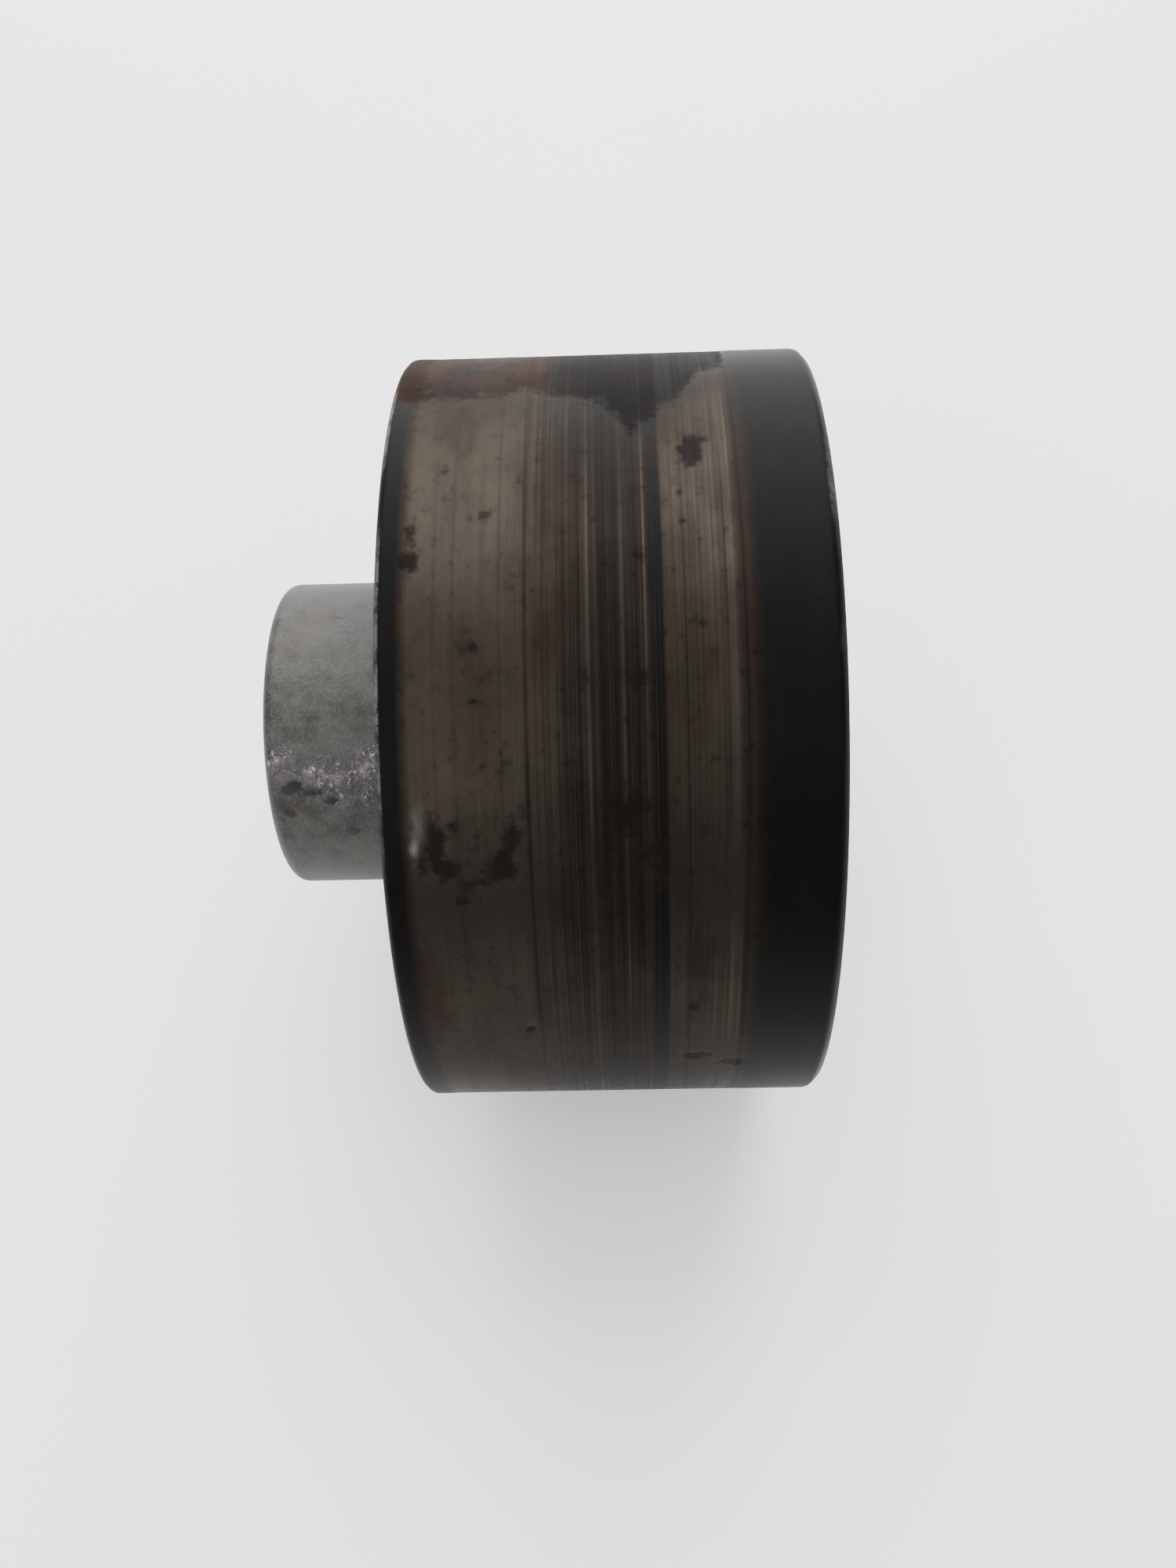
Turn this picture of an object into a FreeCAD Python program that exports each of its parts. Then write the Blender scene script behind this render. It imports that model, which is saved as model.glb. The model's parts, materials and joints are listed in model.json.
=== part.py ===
"""A cantilever track roller: a plain cylindrical tread on two ball bearings over a stub axle.

The axle's spigot is held by the machine's frame. Everything turns about the Y axis. The origin is on
that axis, in the plane of the frame seat; the spigot points to -Y and the roller lies on the +Y side.
Units are millimetres.
"""
import FreeCAD, Part
import math
import os

# ---------------------------------------------------------------- driving sizes
# Tread
tread_diameter = 120.0
tread_width = 60.0
inboard_edge_chamfer = 0.6
outboard_edge_chamfer = 1.0

# Spigot, the end of the axle that the frame holds
spigot_diameter = 50.0
spigot_length = 22.0
spigot_end_rounding = 2.0
frame_bolt_core_diameter = 17.3
frame_bolt_mouth_diameter = 21.0
frame_bolt_hole_depth = 32.0
drill_point_slope = 0.6

# Seal collar, which is pressed on the axle and carries the frame seat
collar_standoff = 1.5
collar_web = 2.5
collar_seat_step = 1.0
collar_shoulder_step = 1.5
collar_rim_wall = 2.7
collar_edge_chamfer = 0.5
labyrinth_gap = 1.0
labyrinth_end_gap = 2.0
collar_ring_leg = 1.9

# Metal face seal: two equal rings, each floating on its own rubber toric
seal_face_gap = 0.04
seal_flange_thickness = 2.2
seal_flange_height = 3.1
seal_face_land = 2.0
seal_face_relief = 0.4
seal_tail_wall = 3.0
seal_tail_short_of_toric = 0.2
seal_bore_clearance = 1.0
seal_floor_clearance = 0.7
toric_section = 4.6
toric_squeeze = 0.4
seal_ramp_angle = 12.0

# Ball bearings: bore, outside diameter, width and ball diameter, and how many balls
inboard_bearing = {"bore": 40.0, "outside": 68.0, "width": 15.0, "ball": 7.94, "balls": 12}
outboard_bearing = {"bore": 35.0, "outside": 62.0, "width": 14.0, "ball": 7.94, "balls": 11}
race_gap = 0.06
race_conformity = 1.03
race_shoulder = 0.60
ring_corner = 1.0
cage_band = 0.36
cage_sheet = 0.8
cage_parting = 0.05
pocket_clearance = 0.12
rivet_radius = 0.6
rivet_head_radius = 1.05
rivet_head_height = 0.45

# Shaft and shell shoulders that locate the bearings
shaft_abutment_height = 3.5
shaft_abutment_length = 1.5
shell_land_height = 1.5
spacer_wall = 3.0
journal_relief = 0.5

# Circlip on the shaft's outboard end
circlip_thickness = 1.5
circlip_groove_depth = 1.0
circlip_groove_side_gap = 0.1
circlip_root_height = 3.6
circlip_tip_height = 2.2
circlip_mouth = 9.0
circlip_lug_radius = 3.0
circlip_lug_hole = 1.1
shaft_end_beyond_groove = 1.5
shaft_end_chamfer = 1.0
centre_drill_radius = 2.5
centre_drill_depth = 4.5

# End cover, its bolts and its oil plug
cover_recess_depth = 10.0
cover_flange_band = 16.0
cover_to_bearing = 2.0
cover_rim_clearance = 0.2
cover_flange = 3.5
cover_pilot_length = 1.7
cover_pilot_clearance = 0.03
cover_pilot_wall = 5.5
cover_dome_draft = 1.5
cover_dome_rise = 2.5
cover_dome_wall = 2.5
cover_edge_rounding = 0.6
cover_ring_groove_wall = 1.0
cover_ring_groove_width = 2.4
cover_ring_groove_depth = 1.4
bolt_count = 6
bolt_circle_beyond_seat = 8.5
bolt_core_radius = 2.5
bolt_hole_radius = 3.3
bolt_head_across_flats = 10.0
bolt_head_height = 4.0
bolt_length = 16.0
bolt_hole_spare_depth = 2.0
washer_inner_radius = 3.1
washer_outer_radius = 5.4
washer_thickness = 1.5
washer_split = 0.9
plug_core_radius = 5.35
plug_boss_radius = 9.0
plug_boss_depth = 1.4
plug_head_radius = 8.4
plug_head_height = 2.4
plug_head_chamfer = 0.5
plug_socket_across_flats = 6.0
plug_socket_depth = 4.0
plug_shank_spare = 0.3
plug_washer_thickness = 1.0

# ---------------------------------------------------------------- places worked out from the sizes
axis = FreeCAD.Vector(0, 1, 0)
origin = FreeCAD.Vector(0, 0, 0)
tread_radius = tread_diameter / 2
spigot_radius = spigot_diameter / 2
ramp_slope = math.tan(math.radians(seal_ramp_angle))

shell_start = collar_standoff
shell_end = shell_start + tread_width
cover_seat = shell_end - cover_recess_depth

toric_offset = seal_face_gap / 2 + seal_flange_thickness + toric_section / 2
seal_housing_depth = toric_offset + toric_section / 2 + seal_floor_clearance
seal_plane = collar_web + seal_housing_depth
inboard_bearing_start = seal_plane + seal_housing_depth
inboard_bearing_end = inboard_bearing_start + inboard_bearing["width"]
outboard_bearing_end = cover_seat - cover_to_bearing
outboard_bearing_start = outboard_bearing_end - outboard_bearing["width"]
journal_step = outboard_bearing_start - journal_relief
circlip_groove_end = outboard_bearing_end + circlip_thickness + circlip_groove_side_gap
shaft_end = circlip_groove_end + shaft_end_beyond_groove

inboard_journal_radius = inboard_bearing["bore"] / 2
outboard_journal_radius = outboard_bearing["bore"] / 2
abutment_radius = inboard_journal_radius + shaft_abutment_height
collar_seat_radius = spigot_radius + collar_seat_step
shoulder_radius = max(collar_seat_radius + collar_shoulder_step, abutment_radius + seal_bore_clearance)

# The two seal housings are mirror images about the seal plane, and wide enough to pass the bearing.
toric_radial_gap = (toric_section - toric_squeeze) / math.cos(math.radians(seal_ramp_angle))
seal_bore_radius = max(
    shoulder_radius + seal_bore_clearance,
    inboard_bearing["outside"] / 2 + seal_housing_depth * ramp_slope - seal_tail_wall - toric_radial_gap,
)
tail_radius = seal_bore_radius + seal_tail_wall
housing_radius = tail_radius + toric_radial_gap
toric_radius = tail_radius + toric_radial_gap / 2
seal_flange_radius = tail_radius + seal_flange_height
mouth_ramp_radius = housing_radius + toric_offset * ramp_slope
collar_rim_radius = mouth_ramp_radius + collar_rim_wall
shell_mouth_radius = collar_rim_radius + labyrinth_gap

shell_land_radius = min(inboard_bearing["outside"], outboard_bearing["outside"]) / 2 - shell_land_height
outboard_housing_radius = outboard_bearing["outside"] / 2
cover_recess_radius = outboard_housing_radius + cover_flange_band
cover_radius = cover_recess_radius - cover_rim_clearance
cover_pilot_radius = outboard_housing_radius - cover_pilot_clearance
cover_cavity_radius = cover_pilot_radius - cover_pilot_wall
cover_face = cover_seat + cover_flange
cover_top = cover_face + cover_dome_rise
cover_cavity_top = cover_top - cover_dome_wall
cover_ring_inner = outboard_housing_radius + cover_ring_groove_wall
cover_ring_outer = cover_ring_inner + cover_ring_groove_width
bolt_circle_radius = outboard_housing_radius + bolt_circle_beyond_seat
bolt_head_seat = cover_face + washer_thickness
bolt_tip = bolt_head_seat - bolt_length
plug_head_seat = cover_top + plug_washer_thickness
plug_boss_end = cover_cavity_top - plug_boss_depth


# ---------------------------------------------------------------- helpers
def turned(corners):
    """A solid turned about the Y axis; each corner of its section is (radius, y) or (radius, y, rounding)."""
    places = [FreeCAD.Vector(corner[0], corner[1], 0) for corner in corners]
    edges = []
    first = None
    last = None
    for index, corner in enumerate(corners):
        place = places[index]
        arrive = place
        leave = place
        arc = None
        if len(corner) > 2:
            back = (places[index - 1] - place).normalize()
            ahead = (places[(index + 1) % len(places)] - place).normalize()
            half_angle = back.getAngle(ahead) / 2
            reach = corner[2] / math.tan(half_angle)
            middle = (back + ahead).normalize() * (corner[2] / math.sin(half_angle) - corner[2])
            arrive = place + back * reach
            leave = place + ahead * reach
            arc = Part.Arc(arrive, place + middle, leave).toShape()
        if last is not None:
            edges.append(Part.LineSegment(last, arrive).toShape())
        else:
            first = arrive
        if arc is not None:
            edges.append(arc)
        last = leave
    edges.append(Part.LineSegment(last, first).toShape())
    section = Part.Face(Part.Wire(edges))
    return section.revolve(origin, axis, 360)


def rod(radius, start, end, x=0.0, z=0.0):
    """A cylinder along Y from start to end."""
    return Part.makeCylinder(radius, end - start, FreeCAD.Vector(x, start, z), axis)


def cone(start_radius, end_radius, start, end, x=0.0, z=0.0):
    """A cone along Y from start to end."""
    return Part.makeCone(start_radius, end_radius, end - start, FreeCAD.Vector(x, start, z), axis)


def hexagon(across_flats, start, end, x=0.0, z=0.0):
    """A hexagonal prism along Y."""
    corner_radius = across_flats / 2 / math.cos(math.radians(30))
    corners = []
    for step in range(7):
        angle = math.radians(60 * step)
        across = x + corner_radius * math.cos(angle)
        up = z + corner_radius * math.sin(angle)
        corners.append(FreeCAD.Vector(across, start, up))
    face = Part.Face(Part.makePolygon(corners))
    return face.extrude(FreeCAD.Vector(0, end - start, 0))


def around(radius, count, turn=0.0):
    """Places (x, z, angle in degrees) evenly round a circle about the Y axis."""
    places = []
    for step in range(count):
        angle = 360.0 * step / count + turn
        across = radius * math.cos(math.radians(angle))
        up = radius * math.sin(math.radians(angle))
        places.append((across, up, angle))
    return places


def fused(shapes):
    """One solid from overlapping shapes."""
    return shapes[0].multiFuse(shapes[1:]).removeSplitter()


# ---------------------------------------------------------------- axle and its fixed pieces
def axle_shaft():
    """Stub axle: spigot, collar seat, shoulder, two journals, circlip groove, bolt hole."""
    groove_radius = outboard_journal_radius - circlip_groove_depth
    body = turned([
        (0, -spigot_length),
        (spigot_radius, -spigot_length, spigot_end_rounding),
        (spigot_radius, 0),
        (collar_seat_radius, 0),
        (collar_seat_radius, collar_web),
        (shoulder_radius, collar_web),
        (shoulder_radius, inboard_bearing_start - shaft_abutment_length),
        (abutment_radius, inboard_bearing_start - shaft_abutment_length),
        (abutment_radius, inboard_bearing_start),
        (inboard_journal_radius, inboard_bearing_start),
        (inboard_journal_radius, journal_step),
        (outboard_journal_radius, journal_step),
        (outboard_journal_radius, outboard_bearing_end),
        (groove_radius, outboard_bearing_end),
        (groove_radius, circlip_groove_end),
        (outboard_journal_radius, circlip_groove_end),
        (outboard_journal_radius, shaft_end - shaft_end_chamfer),
        (outboard_journal_radius - shaft_end_chamfer, shaft_end),
        (0, shaft_end),
    ])
    return body.cut(frame_bolt_hole()).cut(centre_drill())


def frame_bolt_hole():
    """Blind hole in the spigot's end, with a chamfered mouth and the drill's point at its bottom."""
    core_radius = frame_bolt_core_diameter / 2
    mouth_radius = frame_bolt_mouth_diameter / 2
    mouth_depth = mouth_radius - core_radius
    bottom = -spigot_length + frame_bolt_hole_depth
    return turned([
        (0, -spigot_length - 1),
        (mouth_radius + 1, -spigot_length - 1),
        (core_radius, -spigot_length + mouth_depth),
        (core_radius, bottom),
        (0, bottom + core_radius * drill_point_slope),
    ])


def centre_drill():
    """Lathe centre in the shaft's outboard end."""
    return turned([
        (0, shaft_end + 1),
        (centre_drill_radius + 1 / math.sqrt(3), shaft_end + 1),
        (centre_drill_radius / 2, shaft_end - centre_drill_radius / 2 * math.sqrt(3)),
        (centre_drill_radius / 2, shaft_end - centre_drill_depth),
        (0, shaft_end - centre_drill_depth - centre_drill_radius / 2 * drill_point_slope),
    ])


def seal_collar():
    """Ring pressed on the axle: its outer face is the frame seat, its rim houses the fixed seal ring."""
    rim_end = seal_plane - labyrinth_end_gap
    floor_radius = housing_radius - (seal_housing_depth - toric_offset) * ramp_slope
    rim_inner = housing_radius + (toric_offset - labyrinth_end_gap) * ramp_slope
    return turned([
        (collar_seat_radius, 0),
        (collar_rim_radius - collar_edge_chamfer, 0),
        (collar_rim_radius, collar_edge_chamfer),
        (collar_rim_radius, rim_end - collar_edge_chamfer),
        (collar_rim_radius - collar_edge_chamfer, rim_end),
        (rim_inner, rim_end),
        (floor_radius, collar_web),
        (collar_seat_radius + collar_ring_leg, collar_web),
        (collar_seat_radius, collar_web - collar_ring_leg),
    ])


def collar_o_ring():
    """Static ring in the triangular gland under the collar's inner edge."""
    section_radius = collar_ring_leg * (1 - 1 / math.sqrt(2))
    centre = FreeCAD.Vector(0, collar_web - section_radius, 0)
    return Part.makeTorus(collar_seat_radius + section_radius, section_radius, centre, axis)


def seal_ring(side):
    """Hard iron seal ring; side is -1 for the fixed ring and +1 for the turning one."""

    def place(radius, from_plane):
        return (radius, seal_plane + side * from_plane)

    face = seal_face_gap / 2
    flange_back = face + seal_flange_thickness
    tail_end = toric_offset + toric_section / 2 - seal_tail_short_of_toric
    back_radius = tail_radius + (toric_offset - flange_back) * ramp_slope
    end_radius = tail_radius - (tail_end - toric_offset) * ramp_slope
    return turned([
        place(seal_bore_radius, face + seal_face_relief),
        place(seal_flange_radius - seal_face_land, face + seal_face_relief),
        place(seal_flange_radius - seal_face_land + seal_face_relief, face),
        place(seal_flange_radius, face),
        place(seal_flange_radius, flange_back),
        place(back_radius, flange_back),
        place(end_radius, tail_end),
        place(seal_bore_radius, tail_end),
    ])


def seal_toric(side):
    """Rubber toric, squeezed flat where the ring's ramp and the housing's ramp grip it."""
    centre = seal_plane + side * toric_offset
    half = toric_section / 2
    round_section = Part.makeTorus(toric_radius, half, FreeCAD.Vector(0, centre, 0), axis)
    rise = half * ramp_slope
    inner = tail_radius
    outer = housing_radius
    gap = turned([
        (inner + rise, centre - side * half),
        (outer + rise, centre - side * half),
        (outer - rise, centre + side * half),
        (inner - rise, centre + side * half),
    ])
    return round_section.common(gap)


def bearing_spacer():
    """Sleeve between the two inner rings."""
    return turned([
        (inboard_journal_radius, inboard_bearing_end),
        (inboard_journal_radius + spacer_wall, inboard_bearing_end),
        (inboard_journal_radius + spacer_wall, outboard_bearing_start),
        (inboard_journal_radius, outboard_bearing_start),
    ])


def shaft_circlip():
    """Open spring ring with two drilled lugs, thickest opposite its mouth."""
    inner_radius = outboard_journal_radius - circlip_groove_depth
    mean_height = (circlip_root_height + circlip_tip_height) / 2
    shift = (circlip_root_height - circlip_tip_height) / 2
    start = outboard_bearing_end
    end = start + circlip_thickness
    lug_across = circlip_mouth / 2
    lug_height = inner_radius + mean_height - 0.5
    ring = rod(inner_radius + mean_height, start, end, 0, -shift)
    lugs = [rod(circlip_lug_radius, start, end, side * lug_across, lug_height) for side in (-1, 1)]
    holes = [rod(circlip_lug_hole, start, end, side * lug_across, lug_height) for side in (-1, 1)]
    mouth_width = circlip_mouth - circlip_lug_radius
    mouth_size = (mouth_width, circlip_thickness, 2 * lug_height)
    mouth = Part.makeBox(*mouth_size, FreeCAD.Vector(-mouth_width / 2, start, 0))
    body = fused([ring] + lugs)
    return body.cut(rod(inner_radius, start, end)).cut(mouth).cut(Part.makeCompound(holes))


# ---------------------------------------------------------------- bearings
def pitch_radius_of(bearing):
    """The balls' centres lie half way between the bore and the outside."""
    return (bearing["bore"] + bearing["outside"]) / 4


def inner_ring(bearing, start):
    """Bearing inner ring with its ball groove."""
    ball_radius = bearing["ball"] / 2
    pitch_radius = pitch_radius_of(bearing)
    end = start + bearing["width"]
    groove_radius = ball_radius * race_conformity
    groove_centre = pitch_radius + groove_radius - ball_radius - race_gap
    shoulder = pitch_radius - race_shoulder * ball_radius
    body = turned([
        (bearing["bore"] / 2, start, ring_corner),
        (shoulder, start, ring_corner / 2),
        (shoulder, end, ring_corner / 2),
        (bearing["bore"] / 2, end, ring_corner),
    ])
    middle = FreeCAD.Vector(0, (start + end) / 2, 0)
    return body.cut(Part.makeTorus(groove_centre, groove_radius, middle, axis))


def outer_ring(bearing, start):
    """Bearing outer ring with its ball groove."""
    ball_radius = bearing["ball"] / 2
    pitch_radius = pitch_radius_of(bearing)
    end = start + bearing["width"]
    groove_radius = ball_radius * race_conformity
    groove_centre = pitch_radius - groove_radius + ball_radius + race_gap
    shoulder = pitch_radius + race_shoulder * ball_radius
    body = turned([
        (shoulder, start, ring_corner / 2),
        (bearing["outside"] / 2, start, ring_corner),
        (bearing["outside"] / 2, end, ring_corner),
        (shoulder, end, ring_corner / 2),
    ])
    middle = FreeCAD.Vector(0, (start + end) / 2, 0)
    return body.cut(Part.makeTorus(groove_centre, groove_radius, middle, axis))


def balls(bearing, start):
    """All the balls of one bearing, as separate solids."""
    middle = start + bearing["width"] / 2
    spheres = []
    for across, up, angle in around(pitch_radius_of(bearing), bearing["balls"]):
        spheres.append(Part.makeSphere(bearing["ball"] / 2, FreeCAD.Vector(across, middle, up)))
    return Part.makeCompound(spheres)


def half_cage(bearing, start, side):
    """Pressed half cage: flat lands between cups that wrap the balls; side is -1 or +1 along Y."""
    ball_radius = bearing["ball"] / 2
    pitch_radius = pitch_radius_of(bearing)
    middle = start + bearing["width"] / 2
    near = middle + side * cage_parting
    cup_radius = ball_radius + pocket_clearance + cage_sheet
    band_inner = pitch_radius - cage_band * ball_radius
    band_outer = pitch_radius + cage_band * ball_radius
    low = min(near, middle + side * cup_radius * 1.1)
    high = max(near, middle + side * cup_radius * 1.1)
    band = rod(band_outer, low, high).cut(rod(band_inner, low, high))
    land_low = min(near, near + side * cage_sheet)
    land = rod(band_outer, land_low, land_low + cage_sheet)
    cups = []
    pockets = []
    for across, up, angle in around(pitch_radius, bearing["balls"]):
        centre = FreeCAD.Vector(across, middle, up)
        cups.append(Part.makeSphere(cup_radius, centre))
        pockets.append(Part.makeSphere(ball_radius + pocket_clearance, centre))
    body = land.multiFuse(cups).common(band).cut(Part.makeCompound(pockets))
    holes = [rod(rivet_radius, low, high, across, up) for across, up in rivet_places(bearing)]
    return body.cut(Part.makeCompound(holes)).removeSplitter()


def rivet_places(bearing):
    """Places (x, z) half way between the balls."""
    half_step = 180.0 / bearing["balls"]
    places = around(pitch_radius_of(bearing), bearing["balls"], half_step)
    return [(across, up) for across, up, angle in places]


def cage_rivets(bearing, start):
    """Rivets that close the two half cages, as separate solids."""
    middle = start + bearing["width"] / 2
    grip = cage_parting + cage_sheet
    rivets = []
    for across, up in rivet_places(bearing):
        shank = rod(rivet_radius, middle - grip, middle + grip, across, up)
        far = middle + grip + rivet_head_height
        near = middle - grip - rivet_head_height
        far_head = cone(rivet_head_radius, rivet_radius, middle + grip, far, across, up)
        near_head = cone(rivet_radius, rivet_head_radius, near, middle - grip, across, up)
        rivets.append(fused([shank, far_head, near_head]))
    return Part.makeCompound(rivets)


# ---------------------------------------------------------------- roller and its turning pieces
def roller_shell():
    """Tread with the seal housing, two bearing seats, the land between them and the cover recess."""
    floor_radius = housing_radius - (seal_housing_depth - toric_offset) * ramp_slope
    body = turned([
        (shell_mouth_radius, shell_start),
        (tread_radius - inboard_edge_chamfer, shell_start),
        (tread_radius, shell_start + inboard_edge_chamfer),
        (tread_radius, shell_end - outboard_edge_chamfer),
        (tread_radius - outboard_edge_chamfer, shell_end),
        (cover_recess_radius + outboard_edge_chamfer, shell_end),
        (cover_recess_radius, shell_end - outboard_edge_chamfer),
        (cover_recess_radius, cover_seat),
        (outboard_housing_radius, cover_seat),
        (outboard_housing_radius, outboard_bearing_start),
        (shell_land_radius, outboard_bearing_start),
        (shell_land_radius, inboard_bearing_end),
        (inboard_bearing["outside"] / 2, inboard_bearing_end),
        (inboard_bearing["outside"] / 2, inboard_bearing_start),
        (floor_radius, inboard_bearing_start),
        (mouth_ramp_radius, seal_plane),
        (shell_mouth_radius, seal_plane),
    ])
    tapped = []
    bottom = bolt_tip - bolt_hole_spare_depth
    point = bolt_core_radius * drill_point_slope
    for across, up, angle in around(bolt_circle_radius, bolt_count, 30.0):
        tapped.append(rod(bolt_core_radius, bottom, cover_seat, across, up))
        tapped.append(cone(0, bolt_core_radius, bottom - point, bottom, across, up))
    return body.cut(fused(tapped))


def end_cover():
    """Dished cover with its pilot, ring groove, bolt holes and threaded centre boss."""
    body = turned([
        (0, plug_boss_end),
        (plug_boss_radius, plug_boss_end),
        (plug_boss_radius, cover_cavity_top),
        (cover_cavity_radius, cover_cavity_top),
        (cover_cavity_radius, cover_seat - cover_pilot_length),
        (cover_pilot_radius, cover_seat - cover_pilot_length),
        (cover_pilot_radius, cover_seat),
        (cover_ring_inner, cover_seat),
        (cover_ring_inner, cover_seat + cover_ring_groove_depth),
        (cover_ring_outer, cover_seat + cover_ring_groove_depth),
        (cover_ring_outer, cover_seat),
        (cover_radius, cover_seat),
        (cover_radius, cover_face, cover_edge_rounding),
        (outboard_housing_radius, cover_face, cover_edge_rounding),
        (outboard_housing_radius - cover_dome_draft, cover_top, cover_edge_rounding),
        (0, cover_top),
    ])
    holes = [rod(plug_core_radius, plug_boss_end, cover_top)]
    for across, up, angle in around(bolt_circle_radius, bolt_count, 30.0):
        holes.append(rod(bolt_hole_radius, cover_seat, cover_face, across, up))
    return body.cut(Part.makeCompound(holes))


def cover_o_ring():
    """Static ring squeezed to the depth of the cover's groove."""
    rounding = cover_ring_groove_depth / 2
    return turned([
        (cover_ring_inner, cover_seat, rounding * 0.9),
        (cover_ring_outer, cover_seat, rounding * 0.9),
        (cover_ring_outer, cover_seat + cover_ring_groove_depth, rounding * 0.9),
        (cover_ring_inner, cover_seat + cover_ring_groove_depth, rounding * 0.9),
    ])


def cover_bolts():
    """Hexagon bolts with chamfered heads, as separate solids."""
    head_end = bolt_head_seat + bolt_head_height
    flat_radius = bolt_head_across_flats / 2
    crown = flat_radius + bolt_head_height * math.sqrt(3)
    bolts = []
    for across, up, angle in around(bolt_circle_radius, bolt_count, 30.0):
        head = hexagon(bolt_head_across_flats, bolt_head_seat, head_end, across, up)
        head = head.common(cone(crown, flat_radius * 0.95, bolt_head_seat, head_end, across, up))
        shank = rod(bolt_core_radius, bolt_tip, bolt_head_seat, across, up)
        bolts.append(fused([head, shank]))
    return Part.makeCompound(bolts)


def cover_washers():
    """Split spring washers, as separate solids."""
    washers = []
    for across, up, angle in around(bolt_circle_radius, bolt_count, 30.0):
        ring = rod(washer_outer_radius, cover_face, bolt_head_seat, across, up)
        ring = ring.cut(rod(washer_inner_radius, cover_face, bolt_head_seat, across, up))
        corner = FreeCAD.Vector(0, cover_face, -washer_split / 2)
        split = Part.makeBox(washer_outer_radius + 1, washer_thickness, washer_split, corner)
        split.rotate(origin, axis, -angle)
        split.translate(FreeCAD.Vector(across, 0, up))
        washers.append(ring.cut(split))
    return Part.makeCompound(washers)


def oil_plug():
    """Screwed plug with a collar and a hexagon socket."""
    head_end = plug_head_seat + plug_head_height
    body = turned([
        (0, plug_boss_end + plug_shank_spare),
        (plug_core_radius, plug_boss_end + plug_shank_spare),
        (plug_core_radius, plug_head_seat),
        (plug_head_radius, plug_head_seat),
        (plug_head_radius, head_end - plug_head_chamfer),
        (plug_head_radius - plug_head_chamfer, head_end),
        (0, head_end),
    ])
    return body.cut(hexagon(plug_socket_across_flats, head_end - plug_socket_depth, head_end))


def plug_washer():
    """Soft copper sealing washer under the plug's collar."""
    washer = rod(plug_head_radius, cover_top, plug_head_seat)
    return washer.cut(rod(plug_core_radius, cover_top, plug_head_seat))


# ---------------------------------------------------------------- the assembly
def bearing_nodes(name, bearing, start):
    """The six kinds of piece in one bearing."""
    return {
        name + "_inner_ring": inner_ring(bearing, start),
        name + "_outer_ring": outer_ring(bearing, start),
        name + "_balls": balls(bearing, start),
        name + "_cage_front": half_cage(bearing, start, -1),
        name + "_cage_back": half_cage(bearing, start, 1),
        name + "_cage_rivets": cage_rivets(bearing, start),
    }


def assembly():
    """Every piece by name."""
    nodes = {
        "axle_shaft": axle_shaft(),
        "seal_collar": seal_collar(),
        "collar_o_ring": collar_o_ring(),
        "fixed_seal_ring": seal_ring(-1),
        "fixed_seal_toric": seal_toric(-1),
        "bearing_spacer": bearing_spacer(),
        "shaft_circlip": shaft_circlip(),
        "roller_shell": roller_shell(),
        "rotating_seal_ring": seal_ring(1),
        "rotating_seal_toric": seal_toric(1),
        "end_cover": end_cover(),
        "cover_o_ring": cover_o_ring(),
        "cover_bolts": cover_bolts(),
        "cover_washers": cover_washers(),
        "oil_plug": oil_plug(),
        "plug_washer": plug_washer(),
    }
    nodes.update(bearing_nodes("inboard", inboard_bearing, inboard_bearing_start))
    nodes.update(bearing_nodes("outboard", outboard_bearing, outboard_bearing_start))
    return nodes


os.makedirs("parts", exist_ok=True)
for name, shape in assembly().items():
    shape.exportStep(os.path.join("parts", name + ".step"))
    print(name, "valid" if shape.isValid() else "INVALID", len(shape.Solids), round(shape.Volume, 1))
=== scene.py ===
"""Looks for the track roller: worn tread, plated spigot, materials, floor, light and camera. Metres."""

import json
import math

import bmesh
import bpy
import numpy as np
from mathutils import Matrix, Vector


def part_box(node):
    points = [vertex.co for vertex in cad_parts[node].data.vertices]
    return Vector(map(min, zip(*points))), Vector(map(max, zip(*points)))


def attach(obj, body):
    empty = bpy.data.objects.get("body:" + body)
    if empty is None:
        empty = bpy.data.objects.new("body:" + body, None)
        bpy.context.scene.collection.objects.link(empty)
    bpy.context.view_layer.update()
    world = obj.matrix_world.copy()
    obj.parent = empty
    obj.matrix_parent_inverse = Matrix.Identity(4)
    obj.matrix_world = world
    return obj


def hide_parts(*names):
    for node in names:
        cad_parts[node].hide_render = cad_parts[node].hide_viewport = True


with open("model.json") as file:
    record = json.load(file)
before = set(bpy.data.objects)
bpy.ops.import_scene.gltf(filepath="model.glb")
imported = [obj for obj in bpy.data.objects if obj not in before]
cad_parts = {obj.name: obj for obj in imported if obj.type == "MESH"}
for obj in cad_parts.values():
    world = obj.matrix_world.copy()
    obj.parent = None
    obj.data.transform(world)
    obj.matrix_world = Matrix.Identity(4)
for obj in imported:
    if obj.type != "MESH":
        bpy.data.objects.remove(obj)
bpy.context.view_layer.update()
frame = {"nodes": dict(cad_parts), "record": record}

MM = 0.001
FULL_TURN = 2 * math.pi
SEED = 7
nodes = frame["nodes"]
mounts = {mount["name"]: mount for mount in frame["record"]["mounts"]}

# ---------------------------------------------------------------- places taken from the frame
shell_low, shell_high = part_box("roller_shell")
axle_low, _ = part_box("axle_shaft")
tread_radius = shell_high.x
tread_start = shell_low.y
tread_end = shell_high.y
tread_width = tread_end - tread_start
spigot_radius = mounts["frame_spigot"]["dims"]["r_mm"] * MM
thread_core_radius = mounts["frame_bolt_hole"]["dims"]["r_mm"] * MM
thread_length = mounts["frame_bolt_hole"]["dims"]["length_mm"] * MM
spigot_start = axle_low.y

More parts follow.
